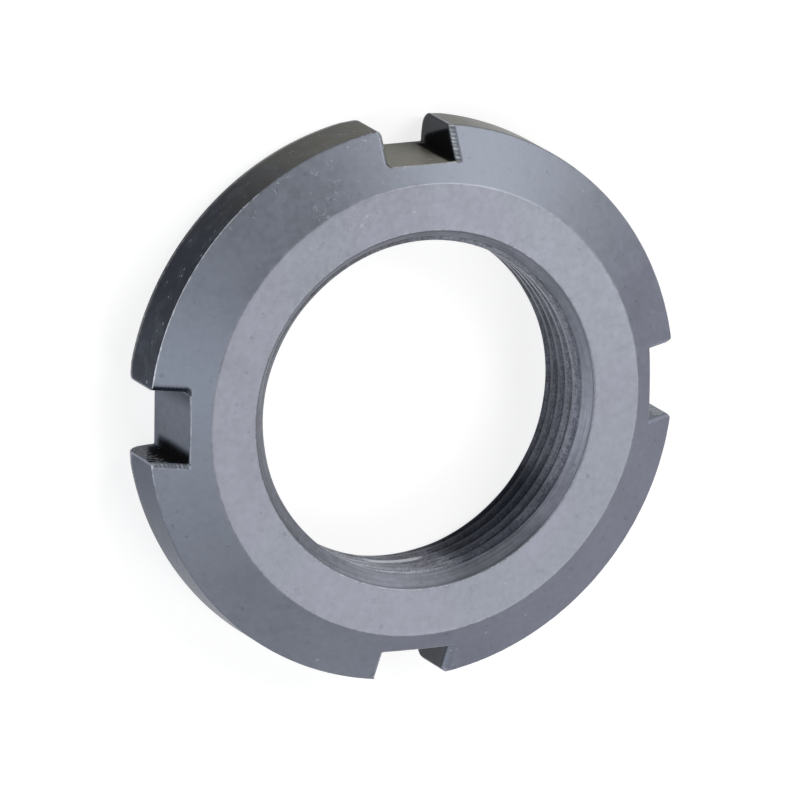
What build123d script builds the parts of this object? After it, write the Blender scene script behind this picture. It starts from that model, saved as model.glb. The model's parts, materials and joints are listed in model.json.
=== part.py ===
from build123d import *
import os
from math import cos, hypot, radians, sin, sqrt, tan

# Slotted round nut that locks a bearing on its shaft, one piece of blackened steel.
# Its form is the standard lock nut for an M20 x 1 thread: a flat ring with four
# spanner slots, a wide bevel on the front, and a flat back that seats on the washer.
#
# Frame: the origin is the centre of the bore on the flat back face. +Z runs along the
# bore towards the bevelled front face. The slots are centred on +X, +Y, -X and -Y.
# Lengths are in millimetres and angles in degrees.

# Ring
outer_diameter = 32.0
nut_width = 6.0

# Bevelled front: the flat ring that is left, and the slope from it to the rim
face_diameter = 26.0
bevel_angle = 32.0

# Turned edge between the rim and the back face
back_edge_inset = 0.6
back_edge_height = 0.85
back_edge_radius = 0.3

# Thread M20 x 1, kept here as the bore over its crests
thread_diameter = 20.0
thread_depth = 0.425

# Countersinks at both mouths of the thread
countersink_step = 0.35
countersink_angle = 45.0

# Spanner slots, milled straight through from face to face
slot_count = 4
slot_width = 4.1
slot_depth = 2.0
slot_corner_radius = 0.3

# Broken edges of the slots
slot_edge_break = 0.25
rim_edge_break = 0.12

# What follows from the sizes above
outer_radius = outer_diameter / 2
face_radius = face_diameter / 2
bevel_height = (outer_radius - face_radius) * tan(radians(bevel_angle))
bore_radius = thread_diameter / 2 - thread_depth
mouth_radius = thread_diameter / 2 + countersink_step
mouth_depth = (mouth_radius - bore_radius) / tan(radians(countersink_angle))
slot_floor_radius = outer_radius - slot_depth

# The milling cutter runs out past the rim, and its flare starts just inside the corner
# where a slot's wall meets the rim.
cutter_reach = 2 * slot_depth
flare_start = sqrt(outer_radius**2 - (slot_width / 2) ** 2) - rim_edge_break
flare_end = slot_floor_radius + cutter_reach

# The bevel falls away from the axis along this line. The walls of a slot meet it in
# edges that start at this height over the slot's floor.
bevel_slope = (cos(radians(bevel_angle)), 0, -sin(radians(bevel_angle)))
wall_corner_radius = hypot(slot_floor_radius, slot_width / 2)
wall_corner_height = nut_width - (wall_corner_radius - face_radius) * tan(radians(bevel_angle))


with BuildPart() as slot_cutter:
    # Straight slot. It flares at the rim, where its corners are broken, and it has the
    # small corner radius of the milling cutter at its floor.
    with BuildSketch(Plane.XY) as slot_plan:
        with BuildLine():
            Polyline(
                (slot_floor_radius, slot_width / 2),
                (flare_start, slot_width / 2),
                (flare_end, slot_width / 2 + flare_end - flare_start),
                (flare_end, flare_start - flare_end - slot_width / 2),
                (flare_start, -slot_width / 2),
                (slot_floor_radius, -slot_width / 2),
                close=True,
            )
        make_face()
        fillet(slot_plan.vertices().group_by(Axis.X)[0], radius=slot_corner_radius)
    extrude(amount=nut_width)

    # Edges on the back face, broken all round at 45 degrees
    with BuildSketch(Plane.XY):
        offset(slot_plan.sketch, amount=slot_edge_break)
    extrude(amount=slot_edge_break, taper=45)

    # Side edges on the bevel, broken at 45 degrees along its slope
    with BuildSketch(Plane.YZ.offset(slot_floor_radius)):
        with BuildLine():
            half_top = slot_width / 2 + 2 * slot_edge_break
            half_bottom = slot_width / 2 - slot_corner_radius
            rise = slot_edge_break / cos(radians(bevel_angle))
            drop = (slot_edge_break + slot_corner_radius) / cos(radians(bevel_angle))
            Polyline(
                (half_top, wall_corner_height + rise),
                (half_bottom, wall_corner_height - drop),
                (-half_bottom, wall_corner_height - drop),
                (-half_top, wall_corner_height + rise),
                close=True,
            )
        make_face()
    extrude(amount=cutter_reach, dir=bevel_slope)


with BuildPart() as lock_nut:
    # Half section of the ring, turned about the bore. The back edge rounds into the rim.
    with BuildSketch(Plane.XZ) as ring_section:
        with BuildLine():
            Polyline(
                (mouth_radius, 0),
                (outer_radius - back_edge_inset, 0),
                (outer_radius, back_edge_height),
                (outer_radius, nut_width - bevel_height),
                (face_radius, nut_width),
                (mouth_radius, nut_width),
                (bore_radius, nut_width - mouth_depth),
                (bore_radius, mouth_depth),
                close=True,
            )
        make_face()
        rim_ends = ring_section.vertices().group_by(Axis.X)[-1]
        fillet(rim_ends.sort_by(Axis.Y)[0], radius=back_edge_radius)
    revolve(axis=Axis.Z)

    # Slots, milled into the rim
    with PolarLocations(0, slot_count):
        add(slot_cutter.part, mode=Mode.SUBTRACT)

lock_nut.part.label = "lock_nut"

os.makedirs("parts", exist_ok=True)
export_step(lock_nut.part, "parts/lock_nut.step")
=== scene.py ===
"""Bearing lock nut of blackened steel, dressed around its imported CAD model.

One piece of turned steel replaces the CAD solid. It keeps that solid's form and adds
the right-hand thread, the worn and serrated edges of the slots, and the finish.
Lengths in the classes are in millimetres, in the frame of the CAD, and angles are in
degrees where nothing else is said. Meshes are written in metres.
"""

import json
import logging
import math
from dataclasses import dataclass, field, fields
from enum import Enum
from typing import Callable, ClassVar

import bpy
import numpy as np
from mathutils import Matrix, Vector

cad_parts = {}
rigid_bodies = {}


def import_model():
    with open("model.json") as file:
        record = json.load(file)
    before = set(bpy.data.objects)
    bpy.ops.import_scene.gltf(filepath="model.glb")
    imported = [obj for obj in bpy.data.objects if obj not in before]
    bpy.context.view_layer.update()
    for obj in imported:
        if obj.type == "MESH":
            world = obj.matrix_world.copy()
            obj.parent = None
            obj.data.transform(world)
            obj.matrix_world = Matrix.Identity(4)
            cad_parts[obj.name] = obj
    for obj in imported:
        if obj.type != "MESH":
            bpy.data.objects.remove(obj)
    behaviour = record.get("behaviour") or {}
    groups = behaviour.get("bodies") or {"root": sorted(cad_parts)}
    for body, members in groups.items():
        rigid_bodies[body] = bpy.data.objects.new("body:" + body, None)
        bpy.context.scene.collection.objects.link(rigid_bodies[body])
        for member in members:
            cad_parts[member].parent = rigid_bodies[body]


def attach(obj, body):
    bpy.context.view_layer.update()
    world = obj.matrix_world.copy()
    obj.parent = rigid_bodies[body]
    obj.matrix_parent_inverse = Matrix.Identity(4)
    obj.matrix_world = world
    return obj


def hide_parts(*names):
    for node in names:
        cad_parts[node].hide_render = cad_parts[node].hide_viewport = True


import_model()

LOG = logging.getLogger("lock_nut")
MM = 0.001

Rows = list[np.ndarray]
Rings = tuple[np.ndarray, np.ndarray, np.ndarray]
Triple = tuple[float, float, float]
Color = tuple[float, float, float, float]


# Geometry helpers


def smoothstep(t: np.ndarray) -> np.ndarray:
    """Ease from 0 to 1 with flat ends, held outside the range."""
    t = np.clip(t, 0.0, 1.0)
    return t * t * (3.0 - 2.0 * t)


def soft_ramp(x: np.ndarray, ease: float) -> np.ndarray:
    """Rise from 0 at a slope of 1, with a rounded start.

    Args:
        x: Distances past the start.
        ease: Half width of the rounding.

    Returns:
        Zero before the rounding and x after it.
    """
    return np.where(x < -ease, 0.0, np.where(x > ease, x, (x + ease) ** 2 / (4.0 * ease)))


def bezier(start: np.ndarray, middle: np.ndarray, end: np.ndarray, t: float) -> np.ndarray:
    """Points of quadratic curves at one parameter.

    Args:
        start: First control points.
        middle: Middle control points.
        end: Last control points.
        t: Curve parameter from 0 to 1.

    Returns:
        One point for each curve.
    """
    return (1.0 - t) ** 2 * start + 2.0 * t * (1.0 - t) * middle + t * t * end


def polar(radius: np.ndarray | float, angle: np.ndarray) -> np.ndarray:
    """Plan points at a radius and at angles in radians."""
    return np.stack([radius * np.cos(angle), radius * np.sin(angle)], axis=-1)


def lift(plan: np.ndarray, height: np.ndarray | float) -> np.ndarray:
    """Plan points at a height."""
    return np.column_stack([plan, np.broadcast_to(height, len(plan))])


def lowered(points: np.ndarray, drop: np.ndarray) -> np.ndarray:
    """Points moved down by a distance each."""
    return points - np.column_stack([np.zeros((len(points), 2)), drop])


def direction(azimuth: float, elevation: float) -> Vector:
    """Unit vector at an azimuth and an elevation."""
    az, el = math.radians(azimuth), math.radians(elevation)
    return Vector((math.cos(az) * math.cos(el), math.sin(az) * math.cos(el), math.sin(el)))


def placed(name: str, data: bpy.types.ID) -> bpy.types.Object:
    """Make an object and link it to the scene.

    Args:
        name: Name of the object.
        data: Its mesh, light or camera.

    Returns:
        The object, at the origin.
    """
    made = bpy.data.objects.new(name, data)
    bpy.context.scene.collection.objects.link(made)
    return made


class Zone(Enum):
    """Named vertex masks that the finish reads.

    SLOT is 0.5 on the floors of the slots and 1 on their walls. THREAD is 0.25 on the
    countersinks, 0.5 on the crests and 1 in the grooves. The others run from 0 to 1. SOOT
    holds painted shade: in the slots' inner corners, on broken edges that keep the slot's
    coat, and as a painted shadow line round the front countersink.
    """

    WEAR = "edge_wear"
    BEVEL = "bevel_zone"
    RIM = "rim_zone"
    SLOT = "slot_zone"
    THREAD = "thread_zone"
    SOOT = "slot_soot"


@dataclass
class MeshDraft:
    """Vertices, faces and masks of one mesh while it is put together."""

    points: Rows = field(default_factory=list)
    faces: list[tuple[int, ...]] = field(default_factory=list)
    masks: dict[Zone, Rows] = field(default_factory=lambda: {zone: [] for zone in Zone})
    count: int = 0

    def add_row(self, row: np.ndarray, **levels: np.ndarray | float) -> np.ndarray:
        """Add one row of vertices.

        Args:
            row: Points of the row.
            levels: Mask values under the lower-case names of Zone.

        Returns:
            The new vertices' indices.
        """
        self.points.append(row)
        for zone in Zone:
            level = levels.get(zone.name.lower(), 0.0)
            self.masks[zone].append(np.broadcast_to(np.asarray(level, float), len(row)))
        start = self.count
        self.count += len(row)
        return np.arange(start, self.count)

    def add_face(self, *corners: int) -> None:
        """Add a face, without repeated corners, unless it has no area.

        Args:
            corners: Indices of its vertices in order.
        """
        kept = [c for i, c in enumerate(corners) if c != corners[i - 1]]
        if len(set(kept)) > 2:
            self.faces.append(tuple(kept))

    def bridge(self, upper: np.ndarray, lower: np.ndarray) -> None:
        """Join two closed rows of equal length with quads.

        Args:
            upper: Indices of the row above.
            lower: Indices of the row below.
        """
        for i in range(len(upper)):
            j = (i + 1) % len(upper)
            self.add_face(upper[i], lower[i], lower[j], upper[j])

    def zip_rings(self, outer: np.ndarray, outer_angle: np.ndarray, inner: np.ndarray,
                  inner_angle: np.ndarray, upward: bool) -> None:
        """Join two closed rings of different length on a flat face.

        Args:
            outer: Indices of the outer ring.
            outer_angle: Their angles, rising over one turn.
            inner: Indices of the inner ring.
            inner_angle: Their angles, rising over one turn from the same start.
            upward: Whether the face looks up.
        """
        i, j = 0, 0
        while i < len(outer) or j < len(inner):
            next_outer = outer_angle[(i + 1) % len(outer)] + math.tau * ((i + 1) // len(outer))
            next_inner = inner_angle[(j + 1) % len(inner)] + math.tau * ((j + 1) // len(inner))
            a, b = outer[i % len(outer)], inner[j % len(inner)]
            if i < len(outer) and (j >= len(inner) or next_outer <= next_inner):
                i += 1
                c = outer[i % len(outer)]
            else:
                j += 1
                c = inner[j % len(inner)]
            self.add_face(*((b, a, c) if upward else (a, b, c)))

    def to_mesh(self, name: str) -> bpy.types.Mesh:
        """Write the draft to a Blender mesh in metres.

        Args:
            name: Name of the mesh.

        Returns:
            The smooth mesh, with a float attribute for each mask.
        """
        mesh = bpy.data.meshes.new(name)
        mesh.from_pydata(np.concatenate(self.points) * MM, [], self.faces)
        for zone in Zone:
            layer = mesh.attributes.new(zone.value, "FLOAT", "POINT")
            layer.data.foreach_set("value", np.concatenate(self.masks[zone]).astype(np.float32))
        mesh.validate()
        mesh.update()
        mesh.polygons.foreach_set("use_smooth", [True] * len(mesh.polygons))
        return mesh


# The nut


@dataclass(frozen=True)
class NutSizes:
    """Sizes of the nut, as in its CAD source, with the thread's root and finer roundings."""

    outer_radius: float = 16.0
    width: float = 6.0
    face_radius: float = 13.0
    face_round: float = 0.045
    bevel_angle: float = 32.0
    back_round_inset: float = 0.9
    back_round_height: float = 1.1
    back_round_share: float = 0.985
    crest_radius: float = 9.575
    root_radius: float = 10.0
    pitch: float = 1.0
    mouth_radius: float = 10.35
    slot_floor: float = 14.0
    slot_half_width: float = 2.05

    @property
    def bevel_slope(self) -> float:
        """Fall of the bevel for each unit of radius."""
        return math.tan(math.radians(self.bevel_angle))

    def on_front(self, plan: np.ndarray) -> np.ndarray:
        """Points of the front face and bevel, rounded where they meet.

        Args:
            plan: Plan points.

        Returns:
            The points of the surface over them.
        """
        past = np.linalg.norm(plan, axis=1) - self.face_radius
        return lift(plan, self.width - self.bevel_slope * soft_ramp(past, self.face_round))

    def on_back(self, plan: np.ndarray) -> np.ndarray:
        """Points of the back face and its rounded outer edge.

        Args:
            plan: Plan points.

        Returns:
            The points of the surface under them.
        """
        inside = (self.outer_radius - np.linalg.norm(plan, axis=1)) / self.back_round_inset
        past = np.clip(1.0 - inside, 0.0, 1.0)
        return lift(plan, self.back_round_height * (1.0 - np.sqrt(1.0 - self.back_round_share * past**2)))


@dataclass
class Outline:
    """Columns of the rim and slots, with one entry for each in order round the nut.

    The first five arrays are plan points or directions. The drops and rounds shape the
    broken edges, and the rest say how each column is worn and coated, and where shade is
    painted on it.
    """

    PLAN: ClassVar[tuple[str, ...]] = ("corner", "front_limit", "front_inset", "back_inset", "facing")

    corner: np.ndarray
    facing: np.ndarray
    front_limit: np.ndarray
    front_inset: np.ndarray
    back_inset: np.ndarray
    front_drop: np.ndarray
    back_drop: np.ndarray
    front_round: np.ndarray
    back_round: np.ndarray
    ring_angle: np.ndarray
    ridge: np.ndarray
    wear: np.ndarray
    rim: np.ndarray
    slot: np.ndarray
    coat: np.ndarray
    depth: np.ndarray
    soot: np.ndarray
    spread: np.ndarray
    scuff: np.ndarray

    def changed(self, change: Callable[[str, np.ndarray], np.ndarray]) -> "Outline":
        """The same columns with each of their arrays changed.

        Args:
            change: Gives the new array for a field's name and its array.

        Returns:
            The changed columns.
        """
        return Outline(**{part.name: change(part.name, getattr(self, part.name)) for part in fields(self)})

    def turned(self, angle: float) -> "Outline":
        """The same columns turned about the axis.

        Args:
            angle: Angle in radians.

        Returns:
            The turned columns.
        """
        turn = np.array([[math.cos(angle), math.sin(angle)], [-math.sin(angle), math.cos(angle)]])
        made = self.changed(lambda name, value: value @ turn if name in self.PLAN else value)
        made.ring_angle = made.ring_angle + angle
        return made

    def mirrored(self) -> "Outline":
        """The same columns on the other side of the slot.

        Returns:
            The mirrored columns in reverse order, without the first one.
        """
        flip = np.array([1.0, -1.0])
        made = self.changed(lambda name, value: value[:0:-1] * flip if name in self.PLAN else value[:0:-1])
        made.ring_angle = -made.ring_angle
        return made

    @staticmethod
    def joined(parts: list["Outline"]) -> "Outline":
        """One outline made of several in order."""
        return parts[0].changed(lambda name, _: np.concatenate([getattr(part, name) for part in parts]))


@dataclass(frozen=True)
class SlotSide:
    """State of the broken edge of one slot wall.

    `ridges` is the height of its ridges and `rubbed` how bare they are, `coat` is how far the
    black of the slot reaches over the edge, which, on edges that face away from the lamps,
    also stands for painted shade. `width` and `corner` scale the edge's width and the radius
    in the floor's corner, `soot` is how far painted shade spreads from there, `bare` is how
    much of the coat the wall has lost, `shade` paints shade on the floor towards the wall,
    and `blunt` scales the corner where the wall meets the rim.
    """

    ridges: float = 1.0
    rubbed: float = 1.0
    coat: float = 0.0
    width: float = 1.0
    corner: float = 1.0
    soot: float = 0.0
    bare: float = 0.0
    shade: float = 0.0
    blunt: float = 1.0


@dataclass(frozen=True)
class HalfPlan:
    """Plan of the columns from the middle of a slot to half-way to the next one.

    The columns lie on the slot's floor, the corner left by the cutter, the slot's wall,
    the flare where the wall meets the rim, and the rim. `floor`, `corner`, `wall`, `flare`
    and `rim` are their places in `point` and `facing`. `turn` and `angle` are angles in
    radians along the corner and the rim, `along` and `ridges` are the places and heights
    of the ridges on the wall, and `share` runs from 0 to 1 along the flare.
    """

    point: np.ndarray
    facing: np.ndarray
    floor: slice
    corner: slice
    wall: slice
    flare: slice
    rim: slice
    turn: np.ndarray
    along: np.ndarray
    ridges: np.ndarray
    share: np.ndarray
    angle: np.ndarray
    wall_start: float
    wall_end: float
    rim_start: float

    @property
    def to_wall(self) -> np.ndarray:
        """Ease along the corner, from the floor to the wall."""
        return smoothstep(self.turn / (math.pi / 2))

    @property
    def to_rim(self) -> np.ndarray:
        """Ease along the flare, from the wall to the rim."""
        return smoothstep(self.share)

    @property
    def near_rim(self) -> np.ndarray:
        """Ease along the wall, from the corner to the flare."""
        return smoothstep((self.along - self.wall_start) / (self.wall_end - self.wall_start))

    def filled(self, level: float, **parts: np.ndarray | float) -> np.ndarray:
        """Give each column a value.

        Args:
            level: Value of the columns that no part names.
            parts: Values of the named parts.

        Returns:
            One value for each column.
        """
        made = np.full(len(self.point), level)
        for name, value in parts.items():
            made[getattr(self, name)] = value
        return made


@dataclass
class Rim:
    """Front ring, bevel, rim, slots and back of the nut.

    The breaks are widths of broken edges, and the rounds say how far such an edge reaches
    into the corner that it replaces. `least_ridge` is the share of a pitch that the last
    ridge of a wall needs, and `least_turn` the smallest angle between two columns, in
    radians. `corner_insets` lead the line inside the break round the corner of slot and
    rim: where it leaves the wall, where it meets the rim, and how far it takes columns up.
    `fan_angles` are the angles, in radians, at which the ends of a slot's corner, wall and
    flare meet the flat ring. BACK_RINGS holds the steps over the rounded back edge, and how
    far each stays inside the break.
    """

    FACE_RINGS: ClassVar[tuple[float, ...]] = (11.6, 12.4, 12.85)
    FACE_EDGE: ClassVar[tuple[tuple[float, float], ...]] = (
        (-1.0, 0.0), (-0.5, 0.6), (0.0, 1.0), (0.5, 0.6), (1.0, 0.0))
    BEVEL_STEPS: ClassVar[tuple[float, ...]] = (0.03, 0.2, 0.4, 0.6, 0.8, 0.95, 1.0)
    SIDE_STEPS: ClassVar[tuple[float, ...]] = (0.03, 0.12, 0.25, 0.4, 0.55, 0.7, 0.85, 0.97, 1.0)
    RIDGE_STEPS: ClassVar[tuple[float, ...]] = (0.0, 0.16, 0.32, 0.5, 0.68, 0.84)
    RIDGE_PROFILE: ClassVar[tuple[float, ...]] = (0.0, 0.8, 1.0, 0.85, 0.3, 0.05)
    BACK_RINGS: ClassVar[tuple[tuple[float, float], ...]] = (
        (0.72, 0.01), (0.54, 0.03), (0.36, 0.05), (0.18, 0.07), (0.0, 0.09), (-0.2, 0.12))
    BACK_STEPS: ClassVar[tuple[float, ...]] = (0.35, 0.7, 1.0)

    sizes: NutSizes
    seed: int = 11
    flat_ring: float = 10.9
    back_ring: float = 12.2
    floor_columns: int = 8
    corner_columns: int = 8
    flare_columns: int = 6
    rim_columns: int = 50
    slot_end_angles: Triple = (8.0, 8.3, 8.65)
    even_angle: float = 9.1
    floor_corner: float = 0.17
    corner_cut: float = 0.12
    flare_width: float = 0.106
    flare_bulge: float = 0.018
    slot_break: float = 0.28
    back_break: float = 0.12
    back_break_at_rim: float = 0.45
    floor_break: float = 0.045
    rim_break: float = 0.062
    drop_share: float = 1.18
    back_drop_share: float = 1.1
    sharp_round: float = 0.3
    back_round: float = 0.9
    ridge_pitch: float = 0.19
    ridge_pitches: tuple[float, float] = (0.82, 1.2)
    ridge_height: float = 0.042
    ridge_heights: tuple[float, float] = (0.45, 1.15)
    least_ridge: float = 0.3
    ridge_margins: tuple[float, float] = (0.01, 0.06)
    least_turn: float = 0.002
    ridge_widening: float = 0.16
    rim_unevenness: float = 0.25
    widening_reach: float = 0.7
    break_steps: int = 5
    margin: float = 0.05
    face_wear: float = 0.32
    bevel_wear: float = 0.25
    edge_wear: float = 0.6
    corner_wear: float = 0.2
    flare_wear: float = 0.3
    valley_wear: float = 0.2
    back_wear: float = 0.3
    rim_wear: float = 0.35
    rubbed_side: float = 165.0
    rubbed_ease: tuple[float, float] = (0.7, 0.2)
    # Painted shade in the slots' inner corners: its reach over the floor, its growth, the rise of its edge
    # with height along the walls' shadow, its fade and its height
    soot_reach: float = 0.36
    soot_growth: float = 0.8
    soot_rise: tuple[float, float] = (0.2, 0.25)
    soot_fade: float = 0.5
    soot_height: float = 1.2
    floor_shade: tuple[float, float] = (1.3, 0.2)
    # Painted shade on broken edges that keep the slot's coat
    edge_soot: float = 0.5
    coat_loss: float = 0.45
    coat_width: float = 0.25
    valley_coat: float = 0.34
    scuff: float = 0.36
    scuff_rise: float = 1.4
    corner_insets: Triple = (0.03, 0.05, 0.055)
    fan_angles: Triple = (0.2, 0.27, 0.276)

    # Walls before and after the middle of the slots on +X, +Y, -X and -Y, anticlockwise
    sides: tuple[tuple[SlotSide, SlotSide], ...] = (
        (SlotSide(0.5, 0.2, coat=0.35, bare=1.1, blunt=2.2), SlotSide(0.5, 0.2, blunt=2.4)),
        (SlotSide(1.0, 0.75, width=1.2, corner=0.45, soot=0.5), SlotSide(0.25, 0.0, coat=0.4, blunt=2.8)),
        (SlotSide(1.0, 0.0, coat=1.0, width=1.6, shade=0.5),
         SlotSide(1.0, 0.6, corner=0.45, soot=0.9, bare=1.0)),
        (SlotSide(0.4, 0.1), SlotSide(1.0, 0.3, width=1.5, bare=0.4, blunt=1.6)),
    )

    def ridge_places(self, random: np.random.Generator, start: float, end: float,
                     scale: float) -> tuple[np.ndarray, np.ndarray]:
        """Place the ridges of a wall's broken edge, with a group of columns for each.

        Args:
            random: Source of the ridges' spacing and height.
            start: Start of the wall.
            end: End of the wall.
            scale: Scale of their height.

        Returns:
            The columns' distances from the axis and the ridges' heights there.
        """
        along, ridges = [], []
        before, after = self.ridge_margins
        x = start
        while x < end - self.least_ridge * self.ridge_pitch:
            pitch = self.ridge_pitch * random.uniform(*self.ridge_pitches)
            height = random.uniform(*self.ridge_heights) * scale
            along.append(x + np.array(self.RIDGE_STEPS) * pitch)
            ridges.append(np.array(self.RIDGE_PROFILE) * height)
            x += pitch
        along, ridges = np.concatenate(along), np.concatenate(ridges)
        inside = (along > start + before) & (along < end - after)
        return along[inside], ridges[inside]

    def half_plan(self, random: np.random.Generator, side: SlotSide) -> HalfPlan:
        """Plan of the columns from the middle of a slot to half-way to the next one.

        Args:
            random: Source of the ridges' spacing and height.
            side: State of the wall's broken edge.

        Returns:
            The plan, with the slot's middle on +X.
        """
        s = self.sizes
        half, floor = s.slot_half_width, s.slot_floor
        corner_radius = self.floor_corner * side.corner
        wall_start = floor + corner_radius
        wall_end = math.sqrt(s.outer_radius**2 - half**2) - self.corner_cut * side.blunt

        y = np.linspace(0.0, half - corner_radius, self.floor_columns)
        floor_part = (np.column_stack([np.full_like(y, floor), y]), np.tile([1.0, 0.0], (len(y), 1)))

        turn = np.radians(np.linspace(0.0, 90.0, self.corner_columns)[1:])
        facing = np.column_stack([np.cos(turn), -np.sin(turn)])
        corner_part = (np.array([wall_start, half - corner_radius]) - corner_radius * facing, facing)

        along, ridges = self.ridge_places(random, wall_start, wall_end, side.ridges)
        wall_part = (np.column_stack([along, np.full_like(along, half)]),
                     np.tile([0.0, -1.0], (len(along), 1)))

        start = np.array([wall_end, half])
        end_y = half + self.flare_width * side.blunt
        end = np.array([math.sqrt(s.outer_radius**2 - end_y**2), end_y])
        share = np.linspace(0.0, 1.0, self.flare_columns)
        t = share[:, None]
        facing = np.array([0.0, -1.0]) * (1 - t) + end / np.linalg.norm(end) * t
        facing /= np.linalg.norm(facing, axis=1)[:, None]
        bulge = self.flare_bulge * side.blunt * np.sin(math.pi * t)
        flare_part = (start + (end - start) * t + facing * bulge, facing)

        rim_start = math.atan2(end[1], end[0])
        even = np.linspace(self.even_angle, 45.0, self.rim_columns)
        angle = np.radians(np.concatenate([self.slot_end_angles, even]))
        angle = angle[angle > rim_start + self.least_turn]
        rim_part = (polar(s.outer_radius, angle), polar(1.0, angle))

        parts = (floor_part, corner_part, wall_part, flare_part, rim_part)
        ends = np.cumsum([0] + [len(points) for points, _ in parts])
        point, facing = (np.concatenate(both) for both in zip(*parts))
        places = (slice(first, last) for first, last in zip(ends, ends[1:]))
        return HalfPlan(point, facing, *places, turn, along, ridges, share, angle,
                        wall_start, wall_end, rim_start)

    def edges(self, plan: HalfPlan, random: np.random.Generator, side: SlotSide) -> dict[str, np.ndarray]:
        """Shape the broken edges.

        Args:
            plan: The columns.
            random: Source of the rim edge's width.
            side: State of the wall's broken edge.

        Returns:
            The Outline's arrays for the edges of the front and of the back.
        """
        slot_break = self.slot_break * side.width
        to_wall, to_rim = plan.to_wall, plan.to_rim
        uneven = self.rim_break * (1 + self.rim_unevenness * random.uniform(-1, 1, len(plan.angle)))
        width = plan.filled(slot_break, floor=self.floor_break, rim=uneven,
                            corner=self.floor_break + (slot_break - self.floor_break) * to_wall,
                            wall=slot_break * (1 + self.ridge_widening * (plan.ridges - 0.5)))

        # The back's break widens towards the rim
        widening = self.back_break_at_rim - self.back_break
        from_slot = (plan.angle - plan.rim_start) * self.sizes.outer_radius / self.widening_reach
        back_width = plan.filled(self.back_break, flare=self.back_break_at_rim,
                                 wall=self.back_break + widening * plan.near_rim,
                                 rim=self.back_break + widening * smoothstep(1.0 - from_slot))
        back_inset = plan.point - plan.facing * back_width[:, None]
        self.close_back_corner(back_inset, plan)

        # Smooth line just inside the break, where the bevel's rows end
        low, high = self.floor_break + self.margin / 2, slot_break + self.margin
        limit = plan.filled(high, floor=low, corner=low + (high - low) * to_wall,
                            rim=self.rim_break + self.margin / 2)
        front_limit = plan.point - plan.facing * limit[:, None]
        self.close_corner(front_limit, plan, high, side.blunt)
        inset_share = 1.0 - width / limit

        slope = self.sizes.bevel_slope
        steep = math.hypot(1.0, slope)
        slot_drop = slot_break * self.drop_share
        drop = width * self.drop_share
        drop[plan.floor] = self.floor_break * (1 + slope)
        drop[plan.flare] = slot_drop + (self.rim_break * steep - slot_drop) * to_rim
        drop[plan.rim] = width[plan.rim] * steep
        return {
            "front_limit": front_limit,
            "front_inset": front_limit + (plan.point - front_limit) * inset_share[:, None],
            "back_inset": back_inset,
            "front_drop": drop,
            "back_drop": back_width * self.back_drop_share,
            "front_round": plan.filled(self.sharp_round, floor=1.0, rim=1.0,
                                       flare=self.sharp_round + (1.0 - self.sharp_round) * to_rim),
            "back_round": plan.filled(self.back_round),
        }

    def states(self, plan: HalfPlan, side: SlotSide) -> dict[str, np.ndarray]:
        """Say how the columns are worn and coated.

        Args:
            plan: The columns.
            side: State of the wall's broken edge.

        Returns:
            The Outline's arrays for wear, coat and painted shade.
        """
        to_wall, to_rim = plan.to_wall, plan.to_rim
        y, half = plan.point[plan.floor, 1], self.sizes.slot_half_width
        # Painted shade spreads over the floor from the wall's corner, and floor_shade paints more of it
        # towards the wall
        growth = self.soot_growth * side.soot
        in_shade = float(side.soot > 0.0)
        floor_painted_shade = in_shade * smoothstep((y - half + self.soot_reach + growth) / max(growth, 0.1))
        rise, more_rise = self.soot_rise
        gain, start = self.floor_shade
        on_side = 1.0 - self.coat_loss * side.bare
        crown = plan.ridges / max(side.ridges, 0.01)
        bare_ridges = side.rubbed * (self.valley_wear + (1.0 - self.valley_wear) * crown)
        return {
            "ridge": plan.filled(0.0, wall=plan.ridges),
            "wear": plan.filled(self.edge_wear, corner=self.corner_wear, wall=bare_ridges,
                                flare=np.maximum(side.rubbed, to_rim * self.flare_wear)),
            "rim": plan.filled(0.0, rim=1.0),
            "slot": plan.filled(0.0, floor=0.5, corner=0.5 + (on_side - 0.5) * to_wall, wall=on_side,
                                flare=on_side * (1.0 - to_rim)),
            "coat": plan.filled(side.coat, floor=1.0, corner=1.0 + (side.coat - 1.0) * to_wall),
            "depth": plan.filled(0.0, wall=plan.along - plan.wall_start,
                                 flare=plan.wall_end - plan.wall_start),
            "soot": plan.filled(in_shade, floor=floor_painted_shade + side.shade * smoothstep(y / half * gain - start),
                                flare=in_shade * (1.0 - to_rim), rim=0.0),
            "spread": plan.filled(rise + more_rise * side.soot),
            "scuff": plan.filled(0.0, wall=self.scuff * side.bare
                                 * smoothstep(self.scuff_rise * plan.near_rim)),
        }

    def ring_angles(self, plan: HalfPlan) -> np.ndarray:
        """Angles where the columns meet the rings of the flat face.

        Args:
            plan: The columns.

        Returns:
            The angles in radians, spread more evenly than the columns.
        """
        corner_ring, wall_ring, flare_ring = self.fan_angles
        floor_ring = np.arctan2(plan.point[plan.floor, 1], self.sizes.slot_floor)
        return plan.filled(
            0.0, floor=floor_ring,
            corner=floor_ring[-1] + (corner_ring - floor_ring[-1]) * (plan.turn / (math.pi / 2)),
            wall=np.interp(plan.along, [plan.wall_start, plan.wall_end], [corner_ring, wall_ring]),
            flare=np.interp(plan.share, [0, 1], [wall_ring + 0.001, flare_ring]),
            rim=np.interp(plan.angle, [plan.rim_start, math.pi / 4], [flare_ring, math.pi / 4]))

    def half_outline(self, random: np.random.Generator, side: SlotSide) -> Outline:
        """Columns from the middle of a slot to half-way to the next one.

        Args:
            random: Source of what is uneven on the edges.
            side: State of the wall's broken edge.

        Returns:
            The columns, with the slot's middle on +X.
        """
        plan = self.half_plan(random, side)
        return Outline(corner=plan.point, facing=plan.facing, ring_angle=self.ring_angles(plan),
                       **self.edges(plan, random, side), **self.states(plan, side))

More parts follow.
